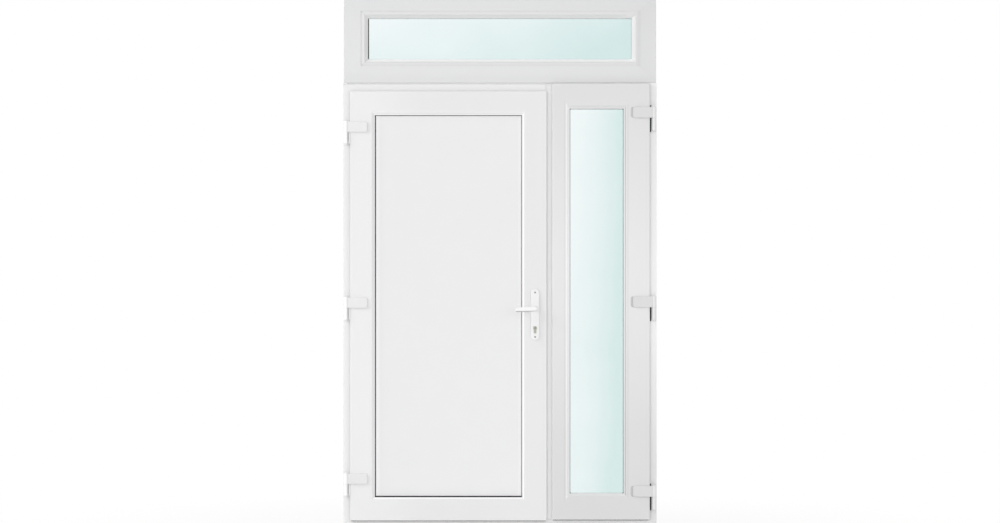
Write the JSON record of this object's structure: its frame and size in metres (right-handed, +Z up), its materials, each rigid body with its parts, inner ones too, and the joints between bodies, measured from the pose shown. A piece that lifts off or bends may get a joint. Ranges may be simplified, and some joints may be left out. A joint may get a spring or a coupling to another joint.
{
  "type": "entrance door",
  "caption": "White plastic-framed entrance door: a solid main leaf with a lever handle, a narrower glazed side leaf and a fixed glazed light above, in a frame with a centre post.",
  "frame": {"origin": "middle of the frame's underside, in the middle of its depth", "axes": "+X along the door towards the side leaf's hinges, +Y into the building, +Z up; the leaves open towards -Y"},
  "size_m": [1.5, 0.195, 2.552],
  "materials": {
    "white_pvc": "satin white PVC-u, smooth, faintly glossy",
    "panel_sheet": "flat white PVC-u faced panel, satin",
    "white_coating": "white powder coat on aluminium",
    "black_rubber": "matt black rubber gasket",
    "aqua_glass": "pale aqua double glazing",
    "spacer_aluminium": "matt mill aluminium",
    "plated_steel": "zinc plated steel",
    "cylinder_brass": "satin nickel over brass, dulled"
  },
  "bodies": {
    "frame": {"sill_rail": "white_pvc", "left_jamb": "white_pvc", "right_jamb": "white_pvc", "main_head": "white_pvc", "side_head": "white_pvc", "centre_post": "white_pvc", "head_coupler": "white_pvc", "transom_left_jamb": "white_pvc", "transom_right_jamb": "white_pvc", "transom_top_rail": "white_pvc", "transom_bottom_rail": "white_pvc", "transom_beads": "white_pvc", "transom_gasket": "black_rubber", "transom_glass": "aqua_glass", "transom_spacer": "spacer_aluminium", "main_hinge_knuckles": "white_coating", "side_hinge_knuckles": "white_coating", "strike_plates": "plated_steel", "rebate_seals": "black_rubber"},
    "main_leaf": {"main_hinge_stile": "white_pvc", "main_lock_stile": "white_pvc", "main_top_rail": "white_pvc", "main_bottom_rail": "white_pvc", "main_panel": "panel_sheet", "main_beads": "white_pvc", "main_gasket": "black_rubber", "main_hinge_flags": "white_coating", "outside_backplate": "white_coating", "inside_backplate": "white_coating", "lock_cylinder": "cylinder_brass", "lock_faceplate": "plated_steel"},
    "lever": {"outside_lever": "white_coating", "inside_lever": "white_coating", "spindle": "plated_steel"},
    "side_leaf": {"side_hinge_stile": "white_pvc", "side_meeting_stile": "white_pvc", "side_top_rail": "white_pvc", "side_bottom_rail": "white_pvc", "side_glass": "aqua_glass", "side_spacer": "spacer_aluminium", "side_beads": "white_pvc", "side_gasket": "black_rubber", "side_hinge_flags": "white_coating", "side_edge_bolts": "plated_steel"}
  },
  "joints": [
    {"name": "main_leaf_hinge", "type": "hinge", "parent": "frame", "child": "main_leaf", "pos_m": [-0.7376, -0.06, 1.051], "axis": [0, 0, -1], "range_deg": [0, 110]},
    {"name": "side_leaf_hinge", "type": "hinge", "parent": "frame", "child": "side_leaf", "pos_m": [0.7376, -0.06, 1.051], "axis": [0, 0, 1], "range_deg": [0, 110]},
    {"name": "lever_turn", "type": "hinge", "parent": "main_leaf", "child": "lever", "pos_m": [0.168, -0.06, 1.046], "axis": [0, -1, 0], "range_deg": [0, 45], "stiffness_Nm_per_rad": 1, "springref_deg": -28.65}
  ]
}
